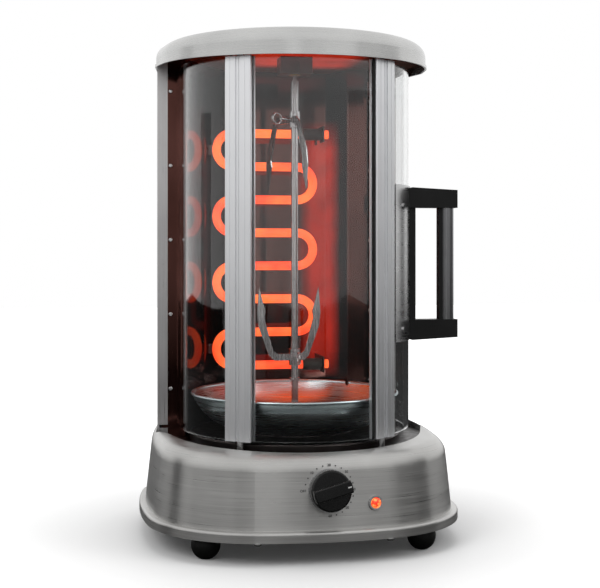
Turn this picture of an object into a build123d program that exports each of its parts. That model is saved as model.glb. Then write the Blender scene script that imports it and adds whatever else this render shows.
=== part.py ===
from build123d import *
import math
import os

# Electric skewer grill: a glass cylinder on a stamped steel base, with a lid, a
# reflector housing behind it, a serpentine heater and a turning skewer.
# Millimetres. +Z is up and the front faces -Y. All pieces are drawn round the skewer's
# axis and moved at the end, so that the origin is the middle of the footprint.

LID_TOP = 467.0             # height of the whole grill
MIDDLE_X = 1.003            # middle of the footprint, from the skewer's axis
MIDDLE_Y = -16.901

# ---------------------------------------------------------------- base
RIM_Z = 20.0                # height of the base's lower edge over the table
RIM_BAND = 9.0              # upright band at the foot of the base
RIM_STEP = 5.0              # step from that band in to the wall
RIM_ROUND = 2.5
BASE_FRONT = 149.0          # axis to the front of the rim
BASE_BACK = 125.0           # axis to the back of the rim
BASE_HALF = 149.0           # axis to the widest place of the rim
FRONT_BOW = 330.0           # radius of the bowed front
SIDE_BOW = 420.0
BACK_BOW = 700.0
FRONT_CORNER = 105.0
BACK_CORNER = 60.0
WALL_DRAFT = 6.0            # degrees that the base's wall leans in
SHOULDER = 15.0
BASE_SHEET = 1.5
BASE_TOP = 92.4             # height of the top at the front of the recess
TOP_RISE = 0.033            # the top climbs this much per millimetre to the back
LIP_WIDTH = 8.0             # turned-in edge under the base

# ---------------------------------------------------------------- recess and floor
RECESS_RADIUS = 121.0
LEDGE_TOP = 87.2
LEDGE_SHEET = 1.2
LEDGE_WIDTH = 4.0
FLOOR_SHEET = 1.0
PLATEAU_RADIUS = 101.5
PLATEAU_TOP = 96.0
PAN_SEAT_RADIUS = 54.0
PAN_SEAT_WIDTH = 5.0
PAN_SEAT_HEIGHT = 2.0

# ---------------------------------------------------------------- feet
FOOT_RADIUS = 13.0
FOOT_FLAT = 5.3             # radius of the worn flat that a foot stands on
FOOT_X = 97.7
FOOT_FRONT_Y = -102.0
FOOT_BACK_Y = 78.0
PLATE_SHEET = 1.0

# ---------------------------------------------------------------- glass and posts
GLASS_RADIUS = 110.0        # outside of the glass cylinder
GLASS = 4.0
GLASS_BOTTOM = 99.0
GLASS_DROP = 23.0           # lid's top down to the panes' top
GLASS_TOP = LID_TOP - GLASS_DROP
POST_ANGLE = 37.3           # each post's place from the front
POST_WIDTH = 26.5
POST_DEPTH = 11.0
POST_PROUD = 2.5            # how far a post stands out of the glass
POST_BOTTOM = 98.7
POST_DROP = 25.0
POST_TOP = LID_TOP - POST_DROP
POST_SLOT = 4.0             # how deep a pane sits in a post
CHANNEL_WIDTH = 5.0
CHANNEL_DEPTH = 1.4
STUD_RADIUS = 3.0

# ---------------------------------------------------------------- door and handle
DOOR_BOTTOM = 100.4
DOOR_DROP = 27.0
DOOR_TOP = LID_TOP - DOOR_DROP
DOOR_FREE_ANGLE = 45.3
DOOR_HINGE_ANGLE = 121.5
PIVOT_X = 116.0
PIVOT_Y = 51.0
PIVOT_RADIUS = 2.5
PIVOT_FIT = 0.08
SHOE_HEIGHT = 13.0
SHOE_WALL = 2.2
SHOE_ARC = 8.0              # degrees of pane that a hinge shoe grips
CLAMP = 1.5
CLAMP_LOW = 184.0
CLAMP_HIGH = 330.0
CLAMP_START = 46.2
CLAMP_END = 78.5
HANDLE_Y = -35.0
HANDLE_THICK = 18.0
HANDLE_TIP_X = 151.0
BRACKET_INNER_LOW = 202.8   # the two brackets' facing sides
BRACKET_INNER_HIGH = 309.5
BRACKET_ROOT = 19.3         # bracket's height at the glass
BRACKET_TIP = 17.0          # and at its free end
GRIP_X = 142.2
GRIP_RADIUS = 6.8
STRIP_THICK = 1.8
STRIP_WIDTH = 9.0
STRUT = 4.2

# ---------------------------------------------------------------- rear housing
HOUSING_FRONT = 20.0
HOUSING_DOOR_FRONT = 62.0   # on the door's side the housing starts further back
HOUSING_BACK = 110.0
HOUSING_HALF_FRONT = 131.3
HOUSING_HALF_BACK = 121.0
HOUSING_CORNER = 36.0
HOUSING_SHEET = 1.2
TIP_ROUND = 16.0            # rounding where lid and recess turn along the housing
FLANGE = 10.0
SLOT_LOW = 97.0             # gap at the foot of each front flange
SLOT_HIGH = 100.0
LINER_SHEET = 0.8
LINER_HALF_FRONT = 104.0
LINER_HALF_BACK = 95.3
LINER_BACK = 104.0
LINER_FLANGE = 23.0
LINER_DOOR_X = 85.0         # cheek on the door's side: front and back ends
LINER_DOOR_BACK_X = 76.0
LINER_DOOR_FLANGE = 30.0
RIVET_X = 118.5
RIVET_DOOR_X = 92.0
RIVET_FIRST = 134.8
RIVET_DROP = 44.2           # lid's top down to the highest rivet
RIVET_PITCH = (LID_TOP - RIVET_DROP - RIVET_FIRST) / 4
RIVET_RADIUS = 2.0
VENT_LENGTH = 30.0
VENT_WIDTH = 3.5

# ---------------------------------------------------------------- lid
LID_DEPTH = 26.0            # lid's top down to its lower edge at the front
LID_EDGE = LID_TOP - LID_DEPTH
LID_RISE = 0.036            # that edge climbs to the back
LID_RADIUS = 131.0
LID_CENTRE_Y = 13.0
LID_GAP = 2.2               # lid's hem outside the housing
LID_SHEET = 0.8
LID_SHOULDER = 13.0
HEM = 1.1
HEM_HEIGHT = 2.4
CEILING_DROP = 12.0
CEILING_Z = LID_TOP - CEILING_DROP
CEILING_SHEET = 1.0
CEILING_RIM_INSET = 15.0
LID_SCREW_X = 60.0
LID_SCREW_DROP = 25.0
LID_SCREW_Z = LID_TOP - LID_SCREW_DROP

# ---------------------------------------------------------------- heater
ELEMENT_Y = 65.0
ELEMENT_RADIUS = 4.4
ELEMENT_TOP = 387.3
ELEMENT_PITCH = 33.6
ELEMENT_RUNS = 8
BEND_LEFT_X = -52.5         # centres of the left and right bends
BEND_RIGHT_X = 14.3
SLEEVE_START_X = 20.0
SLEEVE_END_X = 40.0
SLEEVE_WALL = 1.6
COLD_END_X = 47.0
PAN_NOTCH = 2.2             # the cold ends' plates are cut away this far over the tube

# ---------------------------------------------------------------- skewer and drive
ROD_RADIUS = 3.5
ROD_SQUARE = 6.0
ROD_BOTTOM = 107.5
ROD_COLLAR_Z = 144.5
ROD_DROP = 63.5
ROD_TOP = LID_TOP - ROD_DROP
SLEEVE_RADIUS = 4.0
SLEEVE_LENGTH = 29.0
SLEEVE_TOP = ROD_TOP + SLEEVE_LENGTH
PIN_RADIUS = 2.0
PIN_LENGTH = 39.0
PIN_TOP = ROD_TOP + PIN_LENGTH
SPINDLE_RADIUS = 8.0
SPINDLE_TOP = 112.0
SPINDLE_FIT = 0.08
SOCKET_GAP = 0.2
BRACKET_BOX_X = 31.0
BRACKET_BOX_Y = 22.0
BRACKET_BOX_HEIGHT = 16.4
BRACKET_BOX_BOTTOM = CEILING_Z - BRACKET_BOX_HEIGHT
BOX_SHEET = 1.2

# ---------------------------------------------------------------- forks
FORK_OFFSET = -6.5          # the prongs' middle, beside the rod
FORK_SHEET = 1.6
FORK_HUB_RADIUS = 5.6
FORK_HUB_HEIGHT = 15.6
FORK_FIT = 0.09
LOWER_FORK_Z = 157.8
UPPER_FORK_Z = ROD_TOP - 0.5    # top of the upper fork's hub
UPPER_FORK_TURN = -60.0
SCREW_RADIUS = 2.0
RING_RADIUS = 5.0
RING_WIRE = 1.3
RING_REACH = 22.5

# ---------------------------------------------------------------- drip pan
PAN_RADIUS = 100.4
PAN_RIM_Z = 133.7
PAN_SHEET = 1.0
PAN_BOTTOM_RADIUS = 60.0
PAN_ROLL = 1.5
PAN_HOLE = 12.0
PAN_COLLAR = 10.0

# ---------------------------------------------------------------- timer and lamp
KNOB_X = 5.0
KNOB_Z = 62.5
KNOB_RADIUS = 17.8
KNOB_SKIRT = 9.0
KNOB_GRIP = 8.5
KNOB_BAR = 11.0
KNOB_REST = 165.0           # degrees past OFF at which the knob stands
KNOB_LIFT = 0.8
SHAFT_RADIUS = 3.0
NECK_RADIUS = 4.8
TIMER_SIDE = 42.0
TIMER_DEPTH = 30.0
LAMP_X = 46.0
LAMP_Z = 50.0
LAMP_RADIUS = 5.3

GLAND_X = 62.0
GLAND_Z = 48.0
GLAND_RADIUS = 8.0
GLAND_BORE = 3.6

# ---------------------------------------------------------------- motor
MOTOR_RADIUS = 25.0
MOTOR_HEIGHT = 22.0
MOTOR_TOP = 82.0
MOTOR_PLATE = 1.5
MOTOR_LEG_X = 33.0

CLEAR = 0.3                 # loose fit between separate pieces

FLOOR_TOP = LEDGE_TOP + FLOOR_SHEET
PAN_BOTTOM = PLATEAU_TOP + PAN_SEAT_HEIGHT
GLASS_INSIDE = GLASS_RADIUS - GLASS


# ================================================================ helpers
def cylinder(radius, low, high, x=0.0, y=0.0):
    """Upright cylinder between two heights."""
    return Pos(x, y, low) * extrude(Circle(radius), high - low)


def tube(outer, inner, low, high, x=0.0, y=0.0):
    """Upright ring between two heights."""
    return Pos(x, y, low) * extrude(Circle(outer) - Circle(inner), high - low)


def box(x0, x1, y0, y1, z0, z1):
    """Block between two corners."""
    middle = Pos((x0 + x1) / 2, (y0 + y1) / 2, (z0 + z1) / 2)
    return middle * Box(abs(x1 - x0), abs(y1 - y0), abs(z1 - z0))


def slab(plan, low, high):
    """A flat outline raised between two heights."""
    return Pos(0, 0, low) * extrude(plan, high - low)


def ring_plan(plan, outer, inner):
    """Band that follows an outline, from one offset to another."""
    big = offset(plan, outer) if outer else plan
    return big - offset(plan, inner)


def below(height, rise, y_zero):
    """Plane that climbs to the back, through height at y_zero."""
    return Plane(origin=(0, y_zero, height), x_dir=(1, 0, 0), z_dir=(0, -rise, 1))


def round_plan(angle, radius):
    """Point at an angle from the front, counted towards +X."""
    turn = math.radians(angle)
    return radius * math.sin(turn), -radius * math.cos(turn)


def arc_plan(outer, inner, start, end):
    """Piece of a ring between two angles from the front."""
    middle = (start + end) / 2
    outer_arc = ThreePointArc(
        round_plan(start, outer), round_plan(middle, outer), round_plan(end, outer))
    inner_arc = ThreePointArc(
        round_plan(end, inner), round_plan(middle, inner), round_plan(start, inner))
    sides = Line(outer_arc @ 1, inner_arc @ 0) + Line(inner_arc @ 1, outer_arc @ 0)
    return make_face(outer_arc + inner_arc + sides)


def both_sides(solid):
    """A piece and its mirror image across the middle plane."""
    return solid + mirror(solid, Plane.YZ)


def save(node, shape):
    """Write one sub-part."""
    export_step(shape if isinstance(shape, Compound) else Compound([shape]),
                f"parts/{node}.step")


# ================================================================ plans
def crossing(x0, y0, r0, x1, y1, r1):
    """Right-hand crossing of two circles."""
    reach = math.hypot(x1 - x0, y1 - y0)
    along = (r0 ** 2 - r1 ** 2 + reach ** 2) / (2 * reach)
    aside = math.sqrt(r0 ** 2 - along ** 2)
    ux, uy = (x1 - x0) / reach, (y1 - y0) / reach
    ends = [(x0 + along * ux - s * aside * uy, y0 + along * uy + s * aside * ux) for s in (-1, 1)]
    return max(ends)


def base_plan(inset):
    """Bowed, round-cornered outline of the base, drawn in evenly from its rim."""
    side = (BASE_HALF - SIDE_BOW, 0, SIDE_BOW - inset)
    front_x, front_y = crossing(0, FRONT_BOW - BASE_FRONT, FRONT_BOW - inset, *side)
    back_x, back_y = crossing(0, BASE_BACK - BACK_BOW, BACK_BOW - inset, *side)
    half, near, far = BASE_HALF - inset, inset - BASE_FRONT, BASE_BACK - inset
    front = ThreePointArc((-front_x, front_y), (0, near), (front_x, front_y))
    right = ThreePointArc((front_x, front_y), (half, 0), (back_x, back_y))
    back = ThreePointArc((back_x, back_y), (0, far), (-back_x, back_y))
    left = ThreePointArc((-back_x, back_y), (-half, 0), (-front_x, front_y))
    plan = make_face(front + right + back + left)
    plan = fillet(plan.vertices().sort_by(Axis.Y)[:2], FRONT_CORNER - inset)
    return fillet(plan.vertices().sort_by(Axis.Y)[-2:], BACK_CORNER - inset)


def housing_plan():
    """Outline of the rear housing, narrower at its back."""
    plan = make_face(Polyline(
        (-HOUSING_HALF_FRONT, HOUSING_FRONT), (HOUSING_HALF_FRONT, HOUSING_FRONT),
        (HOUSING_HALF_BACK, HOUSING_BACK), (-HOUSING_HALF_BACK, HOUSING_BACK),
        close=True))
    return fillet(plan.vertices().sort_by(Axis.Y)[-2:], HOUSING_CORNER)


def tangent_to(radius, centre_y, x, y):
    """Touching point, on the right, of the line from a point to a circle."""
    reach = math.hypot(x, y - centre_y)
    turn = math.atan2(y - centre_y, x) - math.acos(radius / reach)
    return radius * math.cos(turn), centre_y + radius * math.sin(turn)


def hull_plan(radius, centre_y, gap):
    """Outline round a circle at the front and, gap outside, the housing behind it."""
    radius -= gap
    x, y = tangent_to(radius, centre_y, HOUSING_HALF_FRONT, HOUSING_FRONT)
    front = ThreePointArc((-x, y), (0, centre_y - radius), (x, y))
    sides = Polyline((x, y), (HOUSING_HALF_FRONT, HOUSING_FRONT), (HOUSING_HALF_BACK, HOUSING_BACK),
                     (-HOUSING_HALF_BACK, HOUSING_BACK), (-HOUSING_HALF_FRONT, HOUSING_FRONT), (-x, y))
    plan = make_face(front + sides)
    plan = fillet(plan.vertices().sort_by(Axis.Y)[-2:], HOUSING_CORNER)
    tips = [v for v in plan.vertices() if abs(v.Y - HOUSING_FRONT) < 0.01]
    return offset(fillet(tips, TIP_ROUND), gap)


HOUSING_PLAN = housing_plan()
HOUSING_SIDE_AT_DOOR = HOUSING_HALF_FRONT - (HOUSING_HALF_FRONT - HOUSING_HALF_BACK) * (
    HOUSING_DOOR_FRONT - HOUSING_FRONT) / (HOUSING_BACK - HOUSING_FRONT)
RECESS_PLAN = hull_plan(RECESS_RADIUS, 0, 1.3)
HEM_PLAN = hull_plan(LID_RADIUS, LID_CENTRE_Y, LID_GAP)
LID_PLAN = offset(HEM_PLAN, -HEM)


# ================================================================ base
def base_form(inset):
    """Solid form of the base, drawn in evenly by inset."""
    rim = slab(base_plan(inset), RIM_Z, RIM_Z + RIM_BAND - inset)
    rim_top = rim.faces().sort_by(Axis.Z)[-1]
    rim = fillet(rim_top.edges(), RIM_ROUND)
    wall = Pos(0, 0, RIM_Z) * extrude(
        base_plan(RIM_STEP + inset), BASE_TOP + 20 - RIM_Z, taper=WALL_DRAFT)
    top = below(BASE_TOP - inset, TOP_RISE, -RECESS_RADIUS)
    wall = split(wall, bisect_by=top, keep=Keep.BOTTOM)
    wall_top = wall.faces().sort_by(Axis.Z)[-1]
    wall = fillet(wall_top.edges(), SHOULDER - inset)
    return rim + wall


def wall_plane(x, z, back=False):
    """Plane on the base's bowed, leaning wall that faces outwards, at the front or the back."""
    lean = math.radians(WALL_DRAFT)
    full, reach, side = (BACK_BOW, BASE_BACK, 1) if back else (FRONT_BOW, BASE_FRONT, -1)
    bow = full - RIM_STEP - math.tan(lean) * (z - RIM_Z)
    out_x, out_y = x / bow, side * math.sqrt(1 - (x / bow) ** 2)
    y = side * (reach - full) + bow * out_y
    return Plane(origin=(x, y, z), x_dir=(-side * out_y, side * out_x, 0),
                 z_dir=(out_x * math.cos(lean), out_y * math.cos(lean), math.sin(lean)))


KNOB_PLANE = wall_plane(KNOB_X, KNOB_Z)
LAMP_PLANE = wall_plane(LAMP_X, LAMP_Z)
GLAND_PLANE = wall_plane(GLAND_X, GLAND_Z, back=True)


def on_plane(plane, radius, low, high):
    """Cylinder square to a plane, between two heights over it."""
    return plane * (Pos(0, 0, low) * extrude(Circle(radius), high - low))


def base_housing():
    """Stamped base: rim, leaning wall, shoulder, recess lip with a ledge, turned-in edge."""
    low = RIM_Z + BASE_SHEET
    cavity = base_form(BASE_SHEET) - slab(base_plan(0), RIM_Z - 1, low)
    cavity -= slab(offset(RECESS_PLAN, BASE_SHEET), LEDGE_TOP - LEDGE_SHEET, LID_TOP)
    shell = base_form(0) - cavity
    shell -= slab(base_plan(LIP_WIDTH), RIM_Z - 1, low)
    shell -= slab(RECESS_PLAN, LEDGE_TOP, LID_TOP)
    shell -= slab(offset(RECESS_PLAN, -LEDGE_WIDTH), LEDGE_TOP - 2 * LEDGE_SHEET, LID_TOP)
    reach = 3 * BASE_SHEET
    shell -= on_plane(KNOB_PLANE, NECK_RADIUS + CLEAR, -reach, reach)
    shell -= on_plane(LAMP_PLANE, LAMP_RADIUS - 0.4, -reach, reach)
    for plane, radius in ((KNOB_PLANE, 8.5), (LAMP_PLANE, LAMP_RADIUS + 1.2)):
        shell -= on_plane(plane, radius, 0.1, reach)
    return shell - on_plane(GLAND_PLANE, GLAND_RADIUS - 2, -reach, reach)


def base_plate():
    """Sheet that closes the base underneath, with cooling slots."""
    low = RIM_Z + BASE_SHEET
    plate = slab(base_plan(BASE_SHEET + CLEAR), low, low + PLATE_SHEET)
    slots = [Pos(x, y, low) * extrude(SlotOverall(36, 4), PLATE_SHEET)
             for x in (-46, 0, 46) for y in (-44, -30, -16, 24, 38, 52)]
    screws = [cylinder(STUD_RADIUS, low, low + PLATE_SHEET, x, y) for x, y in foot_places()]
    return plate - slots - screws


def foot_places():
    return [(x, y) for x in (-FOOT_X, FOOT_X) for y in (FOOT_FRONT_Y, FOOT_BACK_Y)]


FOOT_CENTRE = math.sqrt(FOOT_RADIUS ** 2 - FOOT_FLAT ** 2)


def feet():
    """Four balls with a flat underneath and a flat against the base plate."""
    top = RIM_Z + BASE_SHEET
    ball = Pos(0, 0, FOOT_CENTRE) * Sphere(FOOT_RADIUS)
    ball &= box(-FOOT_RADIUS, FOOT_RADIUS, -FOOT_RADIUS, FOOT_RADIUS, 0, top)
    ball -= cylinder(STUD_RADIUS, FOOT_CENTRE, top)
    return [Pos(x, y) * ball for x, y in foot_places()]


def foot_screws():
    """Screws from inside the base down into the feet."""
    plate_top = RIM_Z + BASE_SHEET + PLATE_SHEET
    head = fillet(cylinder(5, plate_top, plate_top + 2.5).edges().sort_by(Axis.Z)[-1:], 1)
    screw = head + cylinder(STUD_RADIUS - 0.1, FOOT_CENTRE + 1, plate_top)
    return [Pos(x, y) * screw for x, y in foot_places()]


# ================================================================ floor and drive
BUSH_RADIUS = SPINDLE_RADIUS + 2.0
BUSH_FLANGE = SPINDLE_RADIUS + 3.5
BUSH_LOW = 91.0
BUSH_TOP = PLATEAU_TOP + 1.5
MOTOR_FOOT_X = MOTOR_LEG_X + 5.0


def chamber_floor():
    """Floor of the cooking chamber: a raised round table with a seat for the pan."""
    low = LEDGE_TOP
    floor = slab(offset(RECESS_PLAN, -CLEAR), low, FLOOR_TOP)
    floor -= cylinder(PLATEAU_RADIUS - FLOOR_SHEET, low - 1, FLOOR_TOP + 1)
    table = cylinder(PLATEAU_RADIUS, low, PLATEAU_TOP)
    table = fillet(table.edges().sort_by(Axis.Z)[-1:], 2)
    table -= cylinder(PLATEAU_RADIUS - FLOOR_SHEET, low, PLATEAU_TOP - FLOOR_SHEET)
    seat = tube(PAN_SEAT_RADIUS + PAN_SEAT_WIDTH / 2, PAN_SEAT_RADIUS - PAN_SEAT_WIDTH / 2,
                PLATEAU_TOP, PAN_BOTTOM)
    seat = fillet(seat.faces().sort_by(Axis.Z)[-1].edges(), 1)
    floor = floor + table + seat
    floor -= cylinder(BUSH_RADIUS, low, PLATEAU_TOP + 1)
    for x in (-MOTOR_FOOT_X, MOTOR_FOOT_X):
        floor -= cylinder(2.1, low, PLATEAU_TOP + 1, x)
    return floor


def spindle_bush():
    """Flanged bearing in the middle of the floor."""
    bore = SPINDLE_RADIUS + SPINDLE_FIT
    return tube(BUSH_RADIUS, bore, BUSH_LOW, PLATEAU_TOP) + tube(BUSH_FLANGE, bore, PLATEAU_TOP, BUSH_TOP)


def drive_spindle():
    """Turning spindle with a square socket for the skewer."""
    shaft = cylinder(4, MOTOR_TOP - 6, BUSH_LOW) + cylinder(SPINDLE_RADIUS, BUSH_LOW, SPINDLE_TOP)
    flange = cylinder(SPINDLE_RADIUS + 2.5, BUSH_TOP + 0.2, BUSH_TOP + 2)
    spindle = shaft + flange
    spindle = chamfer(spindle.edges().filter_by(GeomType.CIRCLE).sort_by(Axis.Z)[-1:], 1)
    hole = ROD_SQUARE + 2 * SOCKET_GAP
    return spindle - box(-hole / 2, hole / 2, -hole / 2, hole / 2, ROD_BOTTOM - 0.3, SPINDLE_TOP + 1)


def gear_motor():
    """Round synchronous motor with its gearbox and output boss."""
    low = MOTOR_TOP - MOTOR_HEIGHT
    can = cylinder(MOTOR_RADIUS, low, MOTOR_TOP)
    can = fillet(can.edges().filter_by(GeomType.CIRCLE), 2)
    ears = box(-MOTOR_RADIUS - 5, MOTOR_RADIUS + 5, -6, 6, MOTOR_TOP - 2, MOTOR_TOP)
    terminals = box(-8, 8, MOTOR_RADIUS - 2, MOTOR_RADIUS + 6, low + 4, low + 12)
    motor = can + ears + terminals
    motor -= cylinder(4 + SPINDLE_FIT, MOTOR_TOP - 8, MOTOR_TOP + 1)
    for x in (-MOTOR_RADIUS - 2, MOTOR_RADIUS + 2):
        motor -= cylinder(1.6, MOTOR_TOP - 3, MOTOR_TOP + 1, x)
    return motor


def motor_bracket():
    """Bent strip that hangs the motor under the floor."""
    low = MOTOR_TOP
    high = PLATEAU_TOP - FLOOR_SHEET
    plate = box(-MOTOR_LEG_X, MOTOR_LEG_X, -14, 14, low, low + MOTOR_PLATE)
    leg = box(MOTOR_LEG_X - MOTOR_PLATE, MOTOR_LEG_X, -14, 14, low, high)
    foot = box(MOTOR_LEG_X - MOTOR_PLATE, MOTOR_LEG_X + 10, -14, 14, high - MOTOR_PLATE, high)
    bracket = plate + both_sides(leg) + both_sides(foot)
    bracket -= cylinder(6, low - 1, low + 3)
    for x in (MOTOR_RADIUS + 2, MOTOR_FOOT_X):
        for side in (-x, x):
            bracket -= cylinder(1.6, low - 1, high + 1, side)
    return bracket


def motor_screws():
    """Screws of the motor and of its bracket."""
    screws = []
    for x in (-MOTOR_RADIUS - 2, MOTOR_RADIUS + 2):
        screws.append(cylinder(1.5, MOTOR_TOP - 4, MOTOR_TOP + MOTOR_PLATE, x)
                      + cylinder(3, MOTOR_TOP + MOTOR_PLATE, MOTOR_TOP + MOTOR_PLATE + 2, x))
    for x in (-MOTOR_FOOT_X, MOTOR_FOOT_X):
        screws.append(cylinder(1.5, PLATEAU_TOP - 8, PLATEAU_TOP, x)
                      + cylinder(3, PLATEAU_TOP, PLATEAU_TOP + 1.6, x))
    return screws


# ================================================================ housing, liner, lid
def rear_housing():
    """Outer shell behind the chamber, open to the front, cut back on the door's side."""
    low, high = FLOOR_TOP, CEILING_Z
    t = HOUSING_SHEET
    solid = slab(HOUSING_PLAN, low, high)
    solid -= box(0, BASE_HALF, 0, HOUSING_DOOR_FRONT, low, high)
    core = slab(offset(HOUSING_PLAN, -t), low, high) - box(0, BASE_HALF, 0, HOUSING_DOOR_FRONT + t, low, high)
    shell = solid - core
    left = HOUSING_HALF_FRONT - FLANGE
    right = HOUSING_SIDE_AT_DOOR - FLANGE
    shell -= box(-left, 2, 0, HOUSING_FRONT + 2 * t, low, high)
    shell -= box(-2, right, 0, HOUSING_DOOR_FRONT + 2 * t, low, high)
    shell -= box(-HOUSING_HALF_FRONT + 2, -left + 1, 0, HOUSING_FRONT + t + 0.1, SLOT_LOW, SLOT_HIGH)
    for row in (CEILING_Z - 37, CEILING_Z - 47, CEILING_Z - 57, 150, 140, 130):
        for x in (-54, -18, 18, 54):
            slot = Plane.XZ * (Pos(x, row) * SlotOverall(VENT_LENGTH, VENT_WIDTH))
            shell -= Pos(0, HOUSING_BACK + 1) * extrude(slot, 2 * t)
    return shell - lid_screw_holes()


def inner_liner():
    """Polished reflector: two flanges, two leaning cheeks and a back."""
    t = LINER_SHEET
    front, door = HOUSING_FRONT + HOUSING_SHEET, HOUSING_DOOR_FRONT + HOUSING_SHEET
    left = [(-LINER_HALF_FRONT - LINER_FLANGE, front), (-LINER_HALF_FRONT, front),
            (-LINER_HALF_BACK, LINER_BACK)]
    right = [(LINER_DOOR_BACK_X, LINER_BACK), (LINER_DOOR_X, door), (LINER_DOOR_X + LINER_DOOR_FLANGE, door)]
    behind = [(LINER_DOOR_X + LINER_DOOR_FLANGE, door + t), (LINER_DOOR_X + t, door + t),
              (LINER_DOOR_BACK_X + t, LINER_BACK + t), (-LINER_HALF_BACK - t, LINER_BACK + t),
              (-LINER_HALF_FRONT - t, front + t), (-LINER_HALF_FRONT - LINER_FLANGE, front + t)]
    return slab(make_face(Polyline(*left, *right, *behind, close=True)), FLOOR_TOP, CEILING_Z)


def liner_rivets():
    """Dome-headed rivets down both flanges of the liner."""
    head = Pos(0, HOUSING_SHEET, 0) * (Rot(90, 0, 0) * extrude(Circle(RIVET_RADIUS), 1.1))
    head = fillet(head.edges().sort_by(Axis.Y)[:1], 0.8)
    rows = [RIVET_FIRST + i * RIVET_PITCH for i in range(5)]
    return [Pos(x, y, z) * head for x, y in ((-RIVET_X, HOUSING_FRONT), (RIVET_DOOR_X, HOUSING_DOOR_FRONT))
            for z in rows]


LID_BACK_Y = HOUSING_BACK + LID_GAP - HEM


def lid_form(inset):
    """Solid form of the lid with its rounded shoulder."""
    plan = offset(LID_PLAN, -inset) if inset else LID_PLAN
    form = slab(plan, LID_EDGE - 8, LID_TOP - inset)
    return fillet(form.faces().sort_by(Axis.Z)[-1].edges(), LID_SHOULDER - inset)


def lid():
    """Domed lid with a hem along its climbing lower edge and two tabs at the back."""
    front_y = LID_CENTRE_Y - LID_RADIUS
    shell = lid_form(0) - lid_form(LID_SHEET)
    shell -= slab(offset(LID_PLAN, -LID_SHEET), LID_EDGE - 9, LID_EDGE)
    hem = slab(ring_plan(HEM_PLAN, 0, -HEM - LID_SHEET), LID_EDGE - 8, LID_EDGE + 20)
    edge = below(LID_EDGE, LID_RISE, front_y)
    hem_top = below(LID_EDGE + HEM_HEIGHT, LID_RISE, front_y)
    hem = split(hem, bisect_by=hem_top, keep=Keep.BOTTOM)
    body = split(shell + hem, bisect_by=edge, keep=Keep.TOP)
    for x in (-LID_SCREW_X, LID_SCREW_X):
        body += box(x - 7, x + 7, LID_BACK_Y - LID_SHEET, LID_BACK_Y, LID_SCREW_Z - 6, LID_SCREW_Z + 9)
    return body - lid_screw_holes()


def lid_screw_holes():
    """Bores of the two screws through the lid's back and the housing."""
    bore = Rot(90, 0, 0) * (Pos(0, 0, -2) * extrude(Circle(1.8), 8))
    return [Pos(x, LID_BACK_Y, LID_SCREW_Z) * bore for x in (-LID_SCREW_X, LID_SCREW_X)]


def ceiling_plate():
    """Sheet inside the lid that roofs the chamber, with a rim that carries the lid."""
    plan = offset(LID_PLAN, -LID_SHEET - CLEAR)
    plate = slab(plan, CEILING_Z, CEILING_Z + CEILING_SHEET)
    rim = slab(ring_plan(LID_PLAN, -CEILING_RIM_INSET, -CEILING_RIM_INSET - CEILING_SHEET),
               CEILING_Z, LID_TOP - LID_SHEET)
    return plate + rim


def lid_screws():
    """Two screws through the back of the lid into the housing."""
    head = Rot(-90, 0, 0) * extrude(Circle(3.5), 2)
    head = fillet(head.edges().sort_by(Axis.Y)[-1:], 1)
    shank = Rot(90, 0, 0) * extrude(Circle(1.7), LID_BACK_Y - HOUSING_BACK + 4)
    return [Pos(x, LID_BACK_Y, LID_SCREW_Z) * (head + shank) for x in (-LID_SCREW_X, LID_SCREW_X)]


def top_bracket():
    """Open box under the ceiling that carries the skewer's upper bearing."""
    x, y = BRACKET_BOX_X / 2, BRACKET_BOX_Y / 2
    t = BOX_SHEET
    shell = box(-x, x, -y, y, BRACKET_BOX_BOTTOM, CEILING_Z)
    shell -= box(-x + t, x - t, -y + t, y - t, BRACKET_BOX_BOTTOM + t, CEILING_Z)
    slot = Plane.XZ * (Pos(0, (BRACKET_BOX_BOTTOM + CEILING_Z) / 2 - 1) * (Rot(0, 0, 90) * SlotOverall(10, 5.5)))
    shell -= Pos(0, -y + 2) * extrude(slot, 5)
    return shell - cylinder(BUSH_TOP_RADIUS, BRACKET_BOX_BOTTOM - 1, BRACKET_BOX_BOTTOM + 2)


BUSH_TOP_RADIUS = 4.0


def top_bush():
    """Upper bearing bush of the skewer's pin."""
    bore = PIN_RADIUS + SPINDLE_FIT
    low = BRACKET_BOX_BOTTOM
    return (tube(BUSH_TOP_RADIUS, bore, low, low + BOX_SHEET + 1)
            + tube(BUSH_TOP_RADIUS + 1.5, bore, low - 0.8, low))


# ================================================================ glass and posts
def pane(start, end, low, high):
    """Curved pane between two angles from the front."""
    return slab(arc_plan(GLASS_RADIUS, GLASS_INSIDE, start, end), low, high)


POST_HALF_ANGLE = math.degrees(POST_WIDTH / 2 / GLASS_RADIUS)
SLOT_ANGLE = math.degrees(POST_SLOT / GLASS_RADIUS)
FRONT_PANE_ANGLE = POST_ANGLE - POST_HALF_ANGLE + SLOT_ANGLE
SIDE_PANE_START = -POST_ANGLE - POST_HALF_ANGLE + SLOT_ANGLE
SIDE_PANE_END = -90 - math.degrees(math.asin((HOUSING_FRONT + HOUSING_SHEET - CLEAR) / GLASS_RADIUS))


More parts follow.
